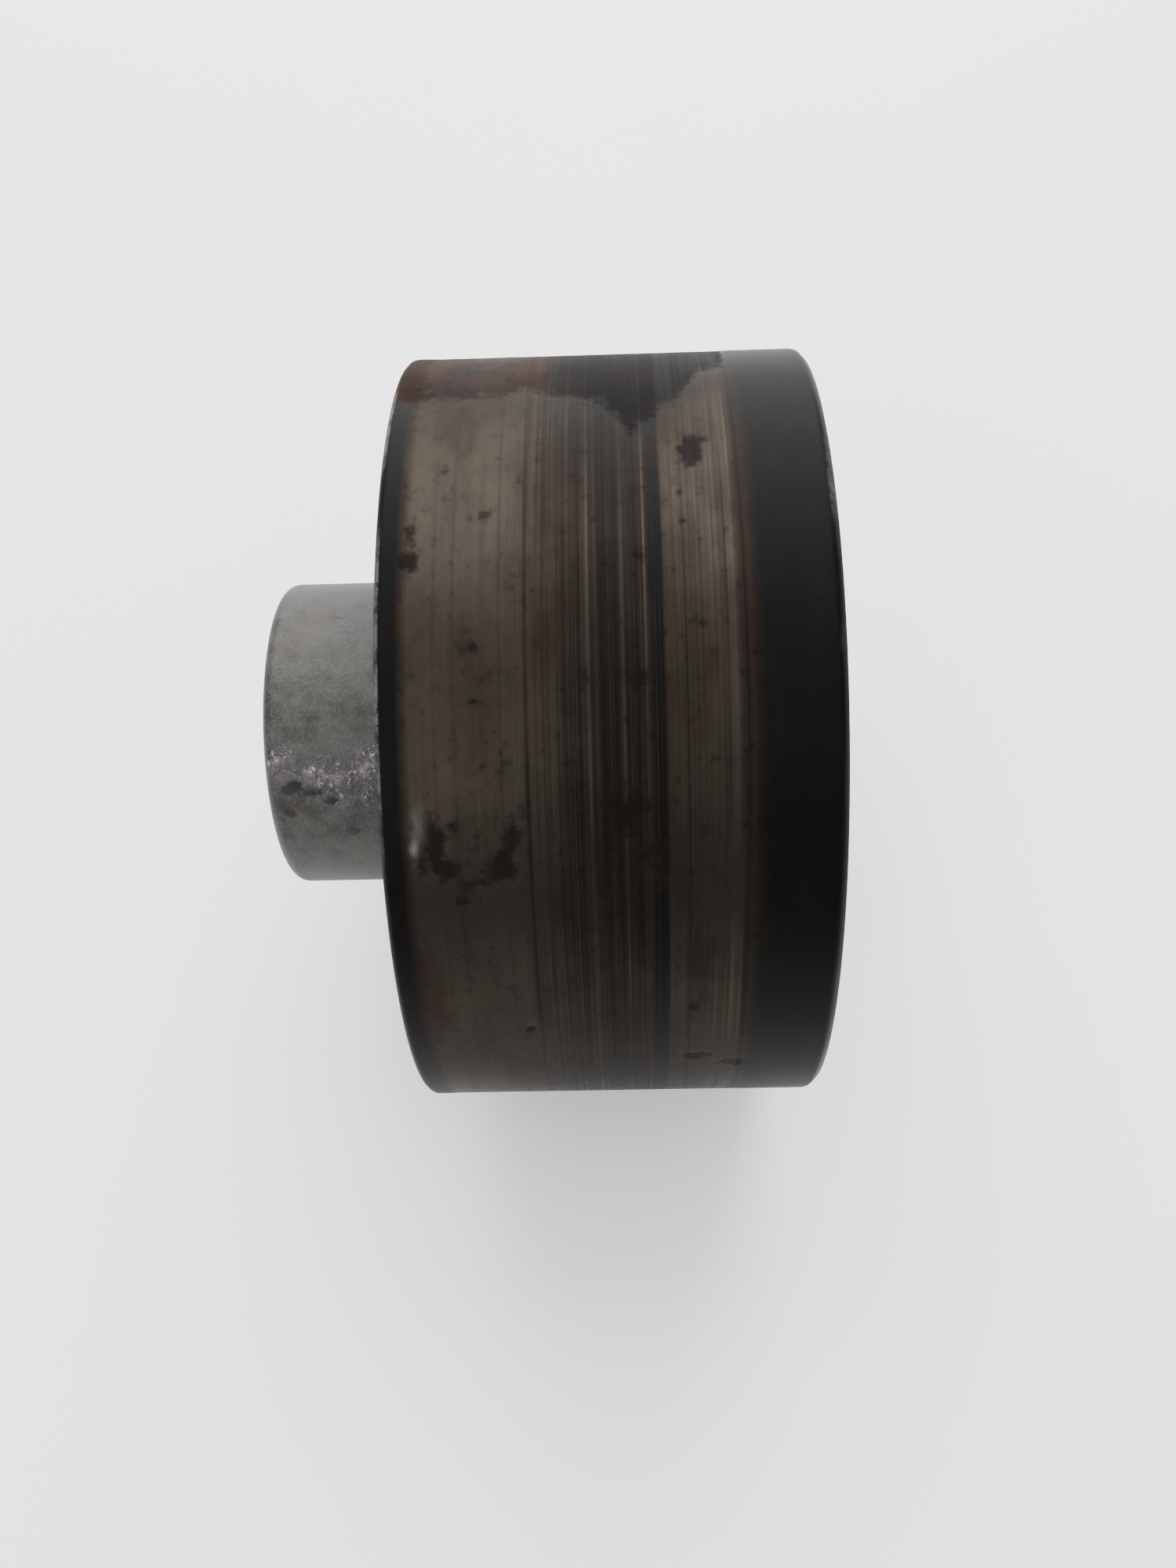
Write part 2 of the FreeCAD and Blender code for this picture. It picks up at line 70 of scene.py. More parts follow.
# ---------------------------------------------------------------- camera
# The camera looks down on the roller, a little to the right of its middle and almost square to its axis.
VIEW_ELEVATION = math.radians(62)
CAMERA_DISTANCE = 3.890 * tread_radius
CAMERA_BELOW = 0.161 * tread_radius
CAMERA_ALONG = 0.521 * tread_radius
CAMERA_YAW = 0.025
CAMERA_ROLL = 0.0226
SENSOR = 36.0
LENS = 31.75
NEAREST = 0.01


def make_camera():
    """Camera on the +X side, turned up about the spin axis by the view's elevation."""
    forward = Vector((-math.cos(CAMERA_YAW), -math.sin(CAMERA_YAW), 0))
    side = Vector((-math.sin(CAMERA_YAW), math.cos(CAMERA_YAW), 0))
    up = Vector((0, 0, 1))
    right = side * math.cos(CAMERA_ROLL) - up * math.sin(CAMERA_ROLL)
    above = up * math.cos(CAMERA_ROLL) + side * math.sin(CAMERA_ROLL)
    turn = Matrix((right, above, -forward)).transposed().to_4x4()
    place = Matrix.Translation(Vector((CAMERA_DISTANCE, tread_start + CAMERA_ALONG, -CAMERA_BELOW)))
    lift = Matrix.Rotation(-VIEW_ELEVATION, 4, "Y")
    data = bpy.data.cameras.new("camera")
    data.lens = LENS
    data.sensor_width = SENSOR
    data.clip_start = NEAREST
    camera = bpy.data.objects.new("camera", data)
    bpy.context.scene.collection.objects.link(camera)
    camera.matrix_world = lift @ place @ turn
    bpy.context.scene.camera = camera


# ---------------------------------------------------------------- colours, linear
BLACK_OXIDE = (0.0027, 0.0026, 0.0027, 1)
BROWN_OXIDE = (0.0046, 0.0031, 0.0022, 1)
POLISHED_TRACK = (0.0280, 0.0230, 0.0184, 1)
BROWN_TARNISH = (0.0105, 0.0060, 0.0045, 1)
DARK_RUST = (0.0060, 0.0030, 0.0021, 1)
RED_RUST = (0.0200, 0.0078, 0.0034, 1)
ORANGE_RUST = (0.042, 0.0150, 0.0048, 1)
BLACK_DIRT = (0.0028, 0.0026, 0.0026, 1)
BROWN_DIRT = (0.0062, 0.0046, 0.0040, 1)
BROWN_SPOT = (0.0045, 0.0026, 0.0018, 1)
# Bright bare steel for the worn rims, also used as the colour of the painted glints on the tread.
BARE_STEEL_AND_GLINT = (0.20, 0.19, 0.18, 1)
DULL_ZINC = (0.0185, 0.0173, 0.0157, 1)
PALE_ZINC = (0.050, 0.0475, 0.0430, 1)
ZINC_GRAIN = (0.082, 0.078, 0.073, 1)
BROWNED_ZINC = (0.036, 0.026, 0.018, 1)
WASHED_ZINC = (0.054, 0.0475, 0.0535, 1)
FLAKED_METAL = (0.120, 0.110, 0.119, 1)
# A painted glint colour for the chips in the flaked patch.
PAINTED_FLAKE_GLINT = (0.27, 0.252, 0.266, 1)
SPIGOT_SOIL = (0.0075, 0.0068, 0.0066, 1)
SPECK_RUST = (0.10, 0.045, 0.022, 1)
CAST_RUST = (0.085, 0.036, 0.018, 1)
BOLT_RUST = (0.12, 0.052, 0.025, 1)
BOLT_SHADE = (0.130, 0.122, 0.105, 1)
BOLT_ZINC = (0.225, 0.212, 0.190, 1)
GROUND_LIGHT = (0.60, 0.60, 0.61, 1)
GROUND_HAZE = (0.50, 0.49, 0.47, 1)
RUBBER_BLACK = (0.010, 0.010, 0.010, 1)
RUBBER_BLOOM = (0.026, 0.026, 0.027, 1)
FLOOR_SHADE = (0.90, 0.90, 0.895, 1)
FLOOR_LIGHT = (0.92, 0.92, 0.915, 1)


def scaled(colour, share):
    """A colour made lighter or darker."""
    return tuple(c * share for c in colour[:3]) + (1,)


# ---------------------------------------------------------------- material helpers
class Shader:
    """A node material under construction: add() makes a node and links or sets its inputs."""

    def __init__(self, name):
        self.material = bpy.data.materials.new(name)
        self.material.use_nodes = True
        self.tree = self.material.node_tree
        self.surface = self.tree.nodes["Principled BSDF"]
        self.place = self.add("ShaderNodeTexCoord").outputs["Object"]

    def add(self, kind, settings=None, **inputs):
        made = self.tree.nodes.new(kind)
        for key, value in (settings or {}).items():
            setattr(made, key, value)
        for key, value in inputs.items():
            self.feed(made.inputs[self.socket(key)], value)
        return made

    @staticmethod
    def socket(key):
        """Socket number for i0, i1 and so on, socket name for anything else."""
        return int(key[1:]) if key[0] == "i" and key[1:].isdigit() else key.replace("_", " ")

    def feed(self, socket, value):
        if isinstance(value, bpy.types.NodeSocket):
            self.tree.links.new(value, socket)
        else:
            socket.default_value = value

    def math(self, operation, first, second=0.0, third=0.0):
        made = self.add("ShaderNodeMath", {"operation": operation}, i0=first, i1=second, i2=third)
        return made.outputs[0]

    def noise(self, across, along, detail=3.0, roughness=0.5):
        """Noise with its features per metre across the axis and along it."""
        stretch = (across, along, across)
        place = self.add("ShaderNodeVectorMath", {"operation": "MULTIPLY"}, i0=self.place, i1=stretch)
        made = self.add("ShaderNodeTexNoise", Vector=place.outputs[0], Scale=1.0, Detail=detail,
                        Roughness=roughness)
        return made.outputs["Fac"]

    def varied(self, value, noise, amount):
        """A value pushed up and down by a noise."""
        return self.math("MULTIPLY_ADD", self.math("SUBTRACT", noise, 0.5), amount, value)

    def span(self, value, low, high, to_low=0.0, to_high=1.0):
        """Smooth step of a value between two levels."""
        made = self.add("ShaderNodeMapRange", {"interpolation_type": "SMOOTHSTEP"}, Value=value,
                        From_Min=low, From_Max=high, To_Min=to_low, To_Max=to_high)
        return made.outputs["Result"]

    def blend(self, amount, first, second):
        made = self.add("ShaderNodeMix", {"data_type": "RGBA"}, i0=amount, i6=first, i7=second)
        return made.outputs[2]

    def attribute(self, name):
        return self.add("ShaderNodeAttribute", {"attribute_name": name}).outputs["Fac"]

    def bump(self, height, distance, strength, under=None):
        made = self.add("ShaderNodeBump", Height=height, Distance=distance, Strength=strength)
        if under is not None:
            self.feed(made.inputs["Normal"], under)
        return made.outputs["Normal"]

    def finish(self, **inputs):
        for key, value in inputs.items():
            self.feed(self.surface.inputs[self.socket(key)], value)
        return self.material


# ---------------------------------------------------------------- materials
def worn_tread():
    """Dark oxide, polished where the track runs, scored round, with rust stains and spots, bright streaks
    that are partly painted sheen, and painted glints.
    """
    s = Shader("worn_tread")
    tone = s.attribute("tone")
    hairlines = s.noise(18, 8200, detail=1.0)
    streaks = s.noise(14, 2400)
    clouds = s.noise(70, 110, detail=5.0, roughness=0.65)
    specks = s.noise(560, 640, detail=4.0, roughness=0.6)
    grain = s.noise(1500, 1500, detail=2.0)
    ragged = s.noise(420, 420, detail=6.0, roughness=0.7)
    rust_hue = s.noise(150, 150, detail=5.0, roughness=0.65)
    tarnish = s.noise(38, 85, detail=4.0, roughness=0.6)

    scoring = s.varied(s.varied(0.0, hairlines, 0.7), streaks, 0.45)
    lined = s.math("MULTIPLY_ADD", scoring, s.attribute("busy"), tone)
    level = s.varied(lined, clouds, 0.55)
    level = s.math("MULTIPLY_ADD", s.span(specks, 0.54, 0.76), -0.19, level)
    polish = s.span(level, 0.0, 1.0)
    oxide = s.blend(s.span(tone, 0.10, 0.24), BLACK_OXIDE, BROWN_OXIDE)
    steel = s.blend(polish, oxide, POLISHED_TRACK)
    browned = s.math("MULTIPLY", s.span(tarnish, 0.48, 0.68, 0.0, 0.6), s.span(tone, 0.1, 0.4))
    steel = s.blend(browned, steel, BROWN_TARNISH)

    stained = s.span(s.varied(s.attribute("stain"), ragged, 0.6), 0.36, 0.66)
    red_side = s.span(s.varied(s.attribute("red"), rust_hue, 1.2), 0.25, 0.75)
    rust = s.blend(s.span(rust_hue, 0.35, 0.7), DARK_RUST, RED_RUST)
    rust = s.blend(s.span(ragged, 0.56, 0.70, 0.0, 0.6), rust, ORANGE_RUST)
    dirt = s.blend(s.span(rust_hue, 0.3, 0.7), BLACK_DIRT, BROWN_DIRT)
    cover = s.blend(red_side, dirt, rust)
    coloured = s.blend(s.math("MULTIPLY", stained, 0.93), steel, cover)

    spotted = s.span(s.varied(s.attribute("spot"), ragged, 1.5), 0.30, 0.74)
    coloured = s.blend(s.math("MULTIPLY", spotted, 0.9), coloured, BROWN_SPOT)
    # The bare value is partly real bare steel on the worn rims and partly painted glints on the tread.
    bare_and_glint = s.math("MULTIPLY", s.attribute("bare_and_glint"), s.span(ragged, 0.40, 0.58, 0.2, 1.0))
    coloured = s.blend(bare_and_glint, coloured, BARE_STEEL_AND_GLINT)

    rough = s.span(polish, 0.0, 1.0, 0.50, 0.37)
    rough = s.math("MULTIPLY_ADD", stained, 0.3, rough)
    rough = s.math("MULTIPLY_ADD", spotted, 0.25, rough)
    metal = s.math("MULTIPLY_ADD", polish, 0.6, 0.3)
    metal = s.math("SUBTRACT", metal, s.math("MAXIMUM", stained, spotted))
    metal = s.math("MAXIMUM", s.math("MAXIMUM", metal, bare_and_glint), 0.0)
    relief = s.math("MULTIPLY_ADD", spotted, -0.6, s.math("MULTIPLY", hairlines, 0.35))
    normal = s.bump(relief, 0.00006, 0.5, under=s.bump(grain, 0.00003, 0.35))
    return s.finish(Base_Color=coloured, Roughness=rough, Metallic=metal, Normal=normal,
                    Specular_IOR_Level=0.07, Specular_Tint=(0.5, 0.5, 0.5, 1))


def plated_spigot():
    """Dull zinc plating: grainy, stained, flaked to bright metal in a patch low on the front, with painted
    glints on the chips.
    """
    s = Shader("plated_spigot")
    flake = s.attribute("flake")
    grain = s.noise(2600, 2600)
    mottle = s.noise(260, 260, detail=4.0, roughness=0.6)
    ragged = s.noise(420, 420, detail=6.0, roughness=0.7)
    brown = s.noise(75, 75)
    chipped = s.span(s.noise(1300, 1300), 0.56, 0.68)

    zinc = s.blend(s.span(mottle, 0.3, 0.7), DULL_ZINC, PALE_ZINC)
    zinc = s.blend(s.span(grain, 0.45, 0.75, 0.0, 0.45), zinc, ZINC_GRAIN)
    zinc = s.blend(s.span(brown, 0.56, 0.72, 0.0, 0.4), zinc, BROWNED_ZINC)
    wash = s.span(s.varied(flake, mottle, 0.8), 0.12, 0.62)
    zinc = s.blend(s.math("MULTIPLY", wash, 0.7), zinc, WASHED_ZINC)
    flaked = s.span(s.varied(flake, ragged, 2.6), 0.42, 0.85)
    chips = s.math("MULTIPLY", chipped, wash)
    # Painted glints: the chips in the flaked patch get a bright colour that stands for their sparkle, on
    # top of their real bump.
    painted_glints = s.math("MULTIPLY", chips, s.span(flaked, 0.0, 0.6, 0.35, 1.0))
    zinc = s.blend(s.math("MULTIPLY", flaked, 0.45), zinc, FLAKED_METAL)
    zinc = s.blend(painted_glints, zinc, PAINTED_FLAKE_GLINT)
    soiled = s.span(s.varied(s.attribute("soil"), ragged, 1.8), 0.46, 0.72)
    zinc = s.blend(s.math("MULTIPLY", soiled, 0.80), zinc, SPIGOT_SOIL)

    rough = s.math("MULTIPLY_ADD", wash, -0.20, s.span(mottle, 0.3, 0.7, 0.5, 0.62))
    metal = s.span(wash, 0.0, 1.0, 0.15, 0.75)
    height = s.math("MULTIPLY_ADD", flaked, 1.2, s.math("MULTIPLY_ADD", mottle, 1.5, grain))
    height = s.math("MULTIPLY_ADD", chips, 2.0, height)
    return s.finish(Base_Color=zinc, Roughness=rough, Metallic=metal, Normal=s.bump(height, 0.00009, 0.8),
                    Specular_IOR_Level=0.25)


def turned_steel(name, colour, roughness, rust=0.12, rings=5200):
    """Machined steel: turning lines round the axis, light tarnish, specks of rust."""
    s = Shader(name)
    lines = s.noise(40, rings, detail=2.0)
    tarnish = s.noise(90, 90, detail=4.0)
    specks = s.noise(700, 700, roughness=0.7)
    base = s.blend(s.span(tarnish, 0.35, 0.7), colour, scaled(colour, 0.62))
    rusted = s.math("MINIMUM", s.span(specks, 0.66, 0.78, 0.0, rust * 4), 0.9)
    base = s.blend(rusted, base, SPECK_RUST)
    rough = s.span(s.math("ADD", lines, tarnish), 0.6, 1.4, roughness, roughness + 0.16)
    return s.finish(Base_Color=base, Roughness=rough, Metallic=1.0, Normal=s.bump(lines, 0.00003, 0.35))


def ground_steel():
    """Bearing steel: ground, clean, with a trace of oil haze."""
    s = Shader("ground_steel")
    haze = s.noise(180, 180)
    lines = s.noise(60, 12000, detail=1.0)
    base = s.blend(s.span(haze, 0.3, 0.7), GROUND_LIGHT, GROUND_HAZE)
    rough = s.span(haze, 0.3, 0.7, 0.14, 0.24)
    return s.finish(Base_Color=base, Roughness=rough, Metallic=1.0, Normal=s.bump(lines, 0.00001, 0.3))


def cast_steel(name, colour, roughness, rust):
    """Cast or forged surface: coarse grain, oxide mottling, patches of light rust."""
    s = Shader(name)
    pebble = s.noise(1100, 1100, detail=4.0, roughness=0.6)
    mottle = s.noise(150, 150, detail=4.0)
    patches = s.noise(70, 70, detail=6.0, roughness=0.66)
    base = s.blend(s.span(mottle, 0.3, 0.7), colour, scaled(colour, 1.7))
    rusted = s.span(patches, 0.53, 0.66, 0.0, rust)
    base = s.blend(rusted, base, CAST_RUST)
    rough = s.math("MULTIPLY_ADD", rusted, 0.25, s.span(mottle, 0.3, 0.7, roughness, roughness + 0.1))
    metal = s.span(rusted, 0.0, 1.0, 0.7, 0.1)
    return s.finish(Base_Color=base, Roughness=rough, Metallic=metal, Normal=s.bump(pebble, 0.00012, 0.6))


def rubber():
    """Matt black nitrile with a faint bloom."""
    s = Shader("nitrile_rubber")
    bloom = s.noise(300, 300, detail=4.0)
    base = s.blend(s.span(bloom, 0.35, 0.75), RUBBER_BLACK, RUBBER_BLOOM)
    rough = s.span(bloom, 0.3, 0.7, 0.5, 0.7)
    return s.finish(Base_Color=base, Roughness=rough, Normal=s.bump(bloom, 0.00003, 0.3))


def plated_fastener():
    """Zinc plated bolts and plug, dulled, with rust starting in the plating's thin places."""
    s = Shader("plated_fastener")
    mottle = s.noise(420, 420, detail=4.0)
    grain = s.noise(2200, 2200, detail=2.0)
    thin = s.noise(190, 190, detail=6.0, roughness=0.7)
    base = s.blend(s.span(mottle, 0.3, 0.7), BOLT_SHADE, BOLT_ZINC)
    rusted = s.span(thin, 0.56, 0.68, 0.0, 0.8)
    base = s.blend(rusted, base, BOLT_RUST)
    rough = s.math("MULTIPLY_ADD", rusted, 0.3, s.span(grain, 0.3, 0.7, 0.34, 0.46))
    metal = s.span(rusted, 0.0, 0.8, 0.9, 0.2)
    return s.finish(Base_Color=base, Roughness=rough, Metallic=metal, Normal=s.bump(grain, 0.00003, 0.4))


def pale_floor():
    """Plain pale floor with a barely visible unevenness."""
    s = Shader("pale_floor")
    base = s.blend(s.span(s.noise(6, 6), 0.3, 0.7), FLOOR_SHADE, FLOOR_LIGHT)
    return s.finish(Base_Color=base, Roughness=0.7)


# ---------------------------------------------------------------- wear on the tread
# Places are millimetres from the tread's inboard face; angles are degrees round the spin axis,
# from +X over +Z, and FRONT is the angle that faces the camera.
FRONT = math.degrees(VIEW_ELEVATION)
TREAD_ARC = math.radians(1) * tread_radius / MM  # millimetres round the tread in one degree
# (place, tone): tone runs from 0, black oxide, to 1, polished steel
TREAD_BANDS = [
    (0.0, 0.10), (2.6, 0.10), (4.4, 0.62), (12.0, 0.60), (18.8, 0.56), (21.0, 0.44),
    (24.0, 0.34), (29.0, 0.20), (31.0, 0.22), (34.8, 0.22), (35.4, 0.15), (36.6, 0.15),
    (37.2, 0.50), (41.0, 0.54), (45.9, 0.58), (46.8, 0.32), (48.0, 0.24), (49.6, 0.10),
    (52.0, 0.05), (60.0, 0.03),
]
# (place, half width, change of tone): positive is a bright burnished line, negative a dark groove
TREAD_LINES = [
    (7.6, 0.10, -0.30), (10.1, 0.22, -0.16), (11.9, 0.18, -0.14), (15.9, 0.12, -0.30),
    (19.2, 0.22, -0.30), (20.1, 0.30, 0.16), (21.9, 0.50, -0.10), (23.1, 0.22, 0.22),
    (24.1, 0.35, -0.12), (24.9, 0.20, 0.42), (26.1, 0.35, -0.14), (27.2, 0.18, 0.60),
    (28.2, 0.14, 0.16), (29.9, 0.90, -0.10), (31.7, 0.20, 0.36), (33.0, 0.45, -0.10),
    (34.6, 0.16, 0.66), (35.7, 0.50, -0.16), (39.6, 0.16, -0.12), (41.9, 0.20, -0.12),
    (43.1, 0.16, 0.16), (44.3, 0.16, -0.34), (45.3, 0.25, 0.12), (47.7, 0.20, 0.14),
]
# (place, half width, change of tone, angle from FRONT, reach in degrees): bright lines on part of the way
# round, drawn only where the tread catches the light low on the front and near the top, so scoring with
# painted sheen
TREAD_STREAKS_AND_SHEEN = [
    (45.3, 0.24, 0.62, -44.0, 20.0), (46.4, 0.20, 0.56, -47.0, 17.0), (44.4, 0.17, 0.48, -46.0, 17.0),
    (43.2, 0.15, 0.40, -49.0, 15.0), (33.4, 0.18, 0.42, -46.0, 18.0),
    (30.6, 0.15, 0.26, -42.0, 20.0), (27.6, 0.14, 0.24, -38.0, 22.0), (24.6, 0.16, 0.22, 40.0, 14.0),
    (25.2, 0.14, 0.24, -44.0, 18.0), (26.4, 0.12, 0.20, -48.0, 16.0), (28.8, 0.14, 0.22, -50.0, 15.0),
    (31.8, 0.12, 0.22, -40.0, 20.0), (22.2, 0.16, 0.18, -46.0, 18.0), (34.2, 0.12, 0.24, -42.0, 20.0),
    (45.0, 0.20, 0.30, 44.0, 9.0), (46.0, 0.16, 0.28, 42.0, 12.0), (38.6, 0.50, 0.14, 40.0, 14.0),
]
# (place, angle from FRONT, half width, half height in millimetres, strength): rust and dirt spots
TREAD_SPOTS = [
    (14.2, 25.5, 1.0, 0.9, 0.75), (4.6, 22.5, 1.0, 1.4, 0.8), (4.4, 18.5, 1.3, 1.8, 0.8),
    (41.8, 36.5, 2.0, 1.6, 0.85), (40.8, 33.5, 1.8, 1.5, 0.85), (39.8, 24.0, 0.8, 0.8, 0.7),
    (39.6, 28.0, 0.7, 0.7, 0.65), (12.2, 8.0, 1.5, 1.6, 0.62), (34.2, 19.0, 1.2, 1.2, 0.6),
    (29.5, 18.0, 1.0, 1.2, 0.5), (41.3, 10.0, 2.6, 1.2, 0.55), (6.9, -16.0, 1.5, 3.4, 0.95),
    (8.2, -20.0, 2.2, 2.0, 0.8), (12.0, -22.0, 2.6, 1.6, 0.75), (15.6, -20.0, 2.4, 2.2, 0.85),
    (17.0, -16.0, 1.4, 2.4, 0.75), (14.8, -13.0, 1.6, 1.4, 0.5), (16.0, -39.0, 1.3, 1.2, 0.5),
    (9.6, -14.5, 1.6, 1.0, 0.68), (5.4, -19.5, 1.0, 2.0, 0.70), (12.6, -16.5, 0.8, 2.6, 0.55),
    (18.6, -13.0, 0.9, 1.3, 0.62), (10.0, -24.5, 2.2, 0.9, 0.60), (15.2, -26.0, 1.6, 1.0, 0.55),
    (32.0, -13.0, 3.8, 5.0, 0.66), (35.5, -19.0, 3.0, 4.4, 0.66), (29.0, -22.0, 2.8, 4.0, 0.60),
    (8.6, 33.0, 1.0, 0.9, 0.66), (31.0, 37.0, 1.2, 0.8, 0.50), (12.6, 1.0, 1.6, 1.0, 0.50),
    (33.5, 3.0, 1.6, 3.6, 0.60), (27.0, 5.0, 1.4, 2.6, 0.55), (16.5, -7.0, 1.6, 1.6, 0.52),
    (41.0, -54.5, 2.2, 1.4, 1.0), (45.9, -57.0, 2.5, 1.4, 1.0), (40.2, -42.0, 1.1, 1.6, 0.7),
    (42.9, -45.0, 0.9, 1.2, 0.7), (9.0, 140.0, 3.0, 4.0, 0.9), (24.0, 165.0, 5.0, 2.4, 0.75),
    (39.0, 150.0, 3.5, 3.0, 0.85), (14.0, 196.0, 2.6, 5.0, 0.8), (43.0, 205.0, 2.2, 3.4, 0.8),
    (30.0, 228.0, 3.4, 2.4, 0.7), (8.0, 245.0, 2.0, 3.0, 0.8), (20.0, 262.0, 3.0, 2.0, 0.65),
]
# (place, angle from FRONT, half width, half height in millimetres, strength): painted glints, a small
# bare-steel spot where a highlight shows on the rim and a softer painted glow round it
TREAD_PAINTED_GLINTS = [
    (4.4, -17.0, 0.5, 1.1, 0.42), (5.2, -14.5, 1.1, 2.0, 0.16),
]
# (place, angle from FRONT, radius, depth in millimetres): dents and pits with real depth
TREAD_PITS = [
    (17.8, -47.0, 0.90, 0.50), (6.9, -16.5, 1.8, 0.10), (41.2, 35.0, 2.2, 0.09),
    (4.3, 19.0, 1.6, 0.10), (15.7, -19.5, 2.0, 0.08), (9.0, 141.0, 2.6, 0.14),
    (39.0, 151.0, 2.4, 0.12), (25.0, 190.0, 0.9, 0.35), (43.0, 206.0, 1.8, 0.12),
]
WORN_DEPTH = 0.07
LINE_DEPTH = 0.022
STAIN_DEPTH = 0.012
LINE_SHARE = 0.62
FINE_LINES = 240
SPOT_SOFTNESS = 0.6
TRACK_START = 4.6  # the worn track, and its busiest scored part
SCORED_START = 18.8
SCORED_END = 37.0
TRACK_END = 49.0
STAIN_FRONT = 47.3  # degrees from FRONT to the stain's edges and its middle
STAIN_BACK = 128.0
STAIN_MIDDLE = 89.0
STAIN_HALF = 80.0
STAIN_SOFTNESS = 16.0
TREAD_COLUMNS = 240
COARSE_STEP = 0.36
FINE_STEP = 0.145
END_ROWS = 22
INBOARD_CHAMFER = 0.6
OUTBOARD_CHAMFER = 1.0
RIM_MARGIN = 0.6


def smooth(value, low, high):
    """Smooth step for arrays."""
    t = np.clip((value - low) / (high - low), 0, 1)
    return t * t * (3 - 2 * t)


def bell(value, at, half):
    """One at a place, fading away over a half width on both sides, for arrays."""
    return np.exp(-(((value - at) / half) ** 2))


def turn_gap(angle, centre):
    """Shortest angle between two directions, in degrees, for arrays."""
    return (angle - centre + 180) % 360 - 180


def waves(random, angle, count):
    """A seamless wandering value round the axis, about -1 to 1."""
    total = np.zeros_like(angle)
    for step in range(count):
        phase = random.uniform(0, FULL_TURN)
        total += np.cos(np.radians(angle) * (1 + step) + phase) / (1 + 0.5 * step)
    return total / math.sqrt(count)


def mark_reach(place, angle, at, turn, half_width, half_height, arc):
    """Squared distance from a mark's middle in half widths and half heights; arc is height in a degree."""
    return ((place - at) / half_width) ** 2 + (turn_gap(angle, FRONT + turn) * arc / half_height) ** 2


def strongest(place, angle, marks, arc, softness=1.0):
    """The strongest of a list of soft marks at each point, for arrays."""
    field = np.zeros_like(place)
    for at, turn, half_width, half_height, strength in marks:
        reach = mark_reach(place, angle, at, turn, half_width, half_height, arc)
        field = np.maximum(field, strength * np.exp(-softness * reach))
    return field


def tread_rows():
    """Places along the tread in millimetres, closest where it is most scored."""
    coarse = np.arange(INBOARD_CHAMFER + RIM_MARGIN, SCORED_START, COARSE_STEP)
    fine = np.arange(SCORED_START, TRACK_END, FINE_STEP)
    end = np.linspace(TRACK_END, tread_width / MM - OUTBOARD_CHAMFER - RIM_MARGIN, END_ROWS)
    return np.concatenate([coarse, fine, end])


def score_lines(random, place, angle):
    """Change of tone from the drawn lines, the streaks (scoring with painted sheen) and many fine random
    lines, for arrays.
    """
    lines = np.zeros_like(place)
    for at, half, change in TREAD_LINES:
        strength = 0.75 + 0.35 * waves(random, angle, 3)
        lines += LINE_SHARE * change * bell(place, at, half) * strength
    # Streaks: scoring brightened only over the angles where the tread catches the light, partly painted
    # sheen.
    for at, half, change, turn, reach in TREAD_STREAKS_AND_SHEEN:
        lines += change * bell(place, at, half) * bell(turn_gap(angle, FRONT + turn), 0, reach)
    for _ in range(FINE_LINES):
        at = random.uniform(TRACK_START, 48.6)
        share = 1.0 if 19 < at < SCORED_END else (0.75 if at >= SCORED_END else 0.3)
        half = random.uniform(0.06, 0.20)
        change = random.normal(0, 0.085) * share
        near = np.abs(place - at) < 4 * half
        strength = np.clip(0.6 + 0.7 * waves(random, angle[near], 3), 0, 1.6)
        lines[near] += change * bell(place[near], at, half) * strength
    return lines


def top_stain(random, place, angle):
    """The stain over the top, with a wandering front edge that runs down in drips, for arrays."""
    wander = 2.0 * waves(random, place * 9, 3) + 1.2 * waves(random, place * 31, 2)
    drips = 4.5 * bell(place, 33.5, 3.2) + 2.0 * bell(place, 38.0, 5.0)
    lift = 9.0 * smooth(place, 40.5, 44.5)
    from_front = turn_gap(angle, FRONT + STAIN_FRONT + lift - drips + wander)
    from_back = turn_gap(FRONT + STAIN_BACK + 9 * waves(random, place * 7, 3), angle)
    stain = 0.5 + np.minimum(from_front, from_back) / STAIN_SOFTNESS
    on_top = np.abs(turn_gap(angle, FRONT + STAIN_MIDDLE)) < STAIN_HALF
    return np.clip(np.where(on_top, stain, 0), 0, 1) * (1 - smooth(place, 45.5, 49.5))


def tread_wear(place, angle):
    """Values for the tread's material, by name, and the depth of wear in millimetres, for arrays."""
    random = np.random.default_rng(SEED)
    band = np.interp(place, *zip(*TREAD_BANDS))
    sway = waves(random, angle, 4)
    lines = score_lines(random, place, angle)
    worn = smooth(place, 2.4, TRACK_START) * (1 - smooth(place, 46.4, 49.8))
    stain = top_stain(random, place, angle)
    spot = strongest(place, angle, TREAD_SPOTS, TREAD_ARC, SPOT_SOFTNESS)

    depth = WORN_DEPTH * worn * (1 + 0.25 * waves(random, angle, 3)) - LINE_DEPTH * lines * worn
    depth += STAIN_DEPTH * smooth(stain, 0.4, 0.6) * waves(random, angle * 7 + place * 40, 3)
    for at, turn, radius, deep in TREAD_PITS:
        pit = np.exp(-(mark_reach(place, angle, at, turn, radius, radius, TREAD_ARC) ** 1.5))
        depth += deep * pit
        spot = np.maximum(spot, pit)

    busy = 0.22 + 0.62 * smooth(place, 17.0, 21.0)
    busy -= 0.36 * smooth(place, 36.0, 38.0) + 0.35 * smooth(place, 47.0, 50.0)
    fields = {
        "tone": band + lines + 0.025 * sway * worn,
        # On the tread the bare value holds only the painted glints; the rims add their real bare chips
        # later.
        "bare_and_glint": strongest(place, angle, TREAD_PAINTED_GLINTS, TREAD_ARC),
        "busy": busy,
        "stain": stain,
        "red": 1 - smooth(place, 17.0, 26.0),
        "spot": spot,
    }
    return fields, depth


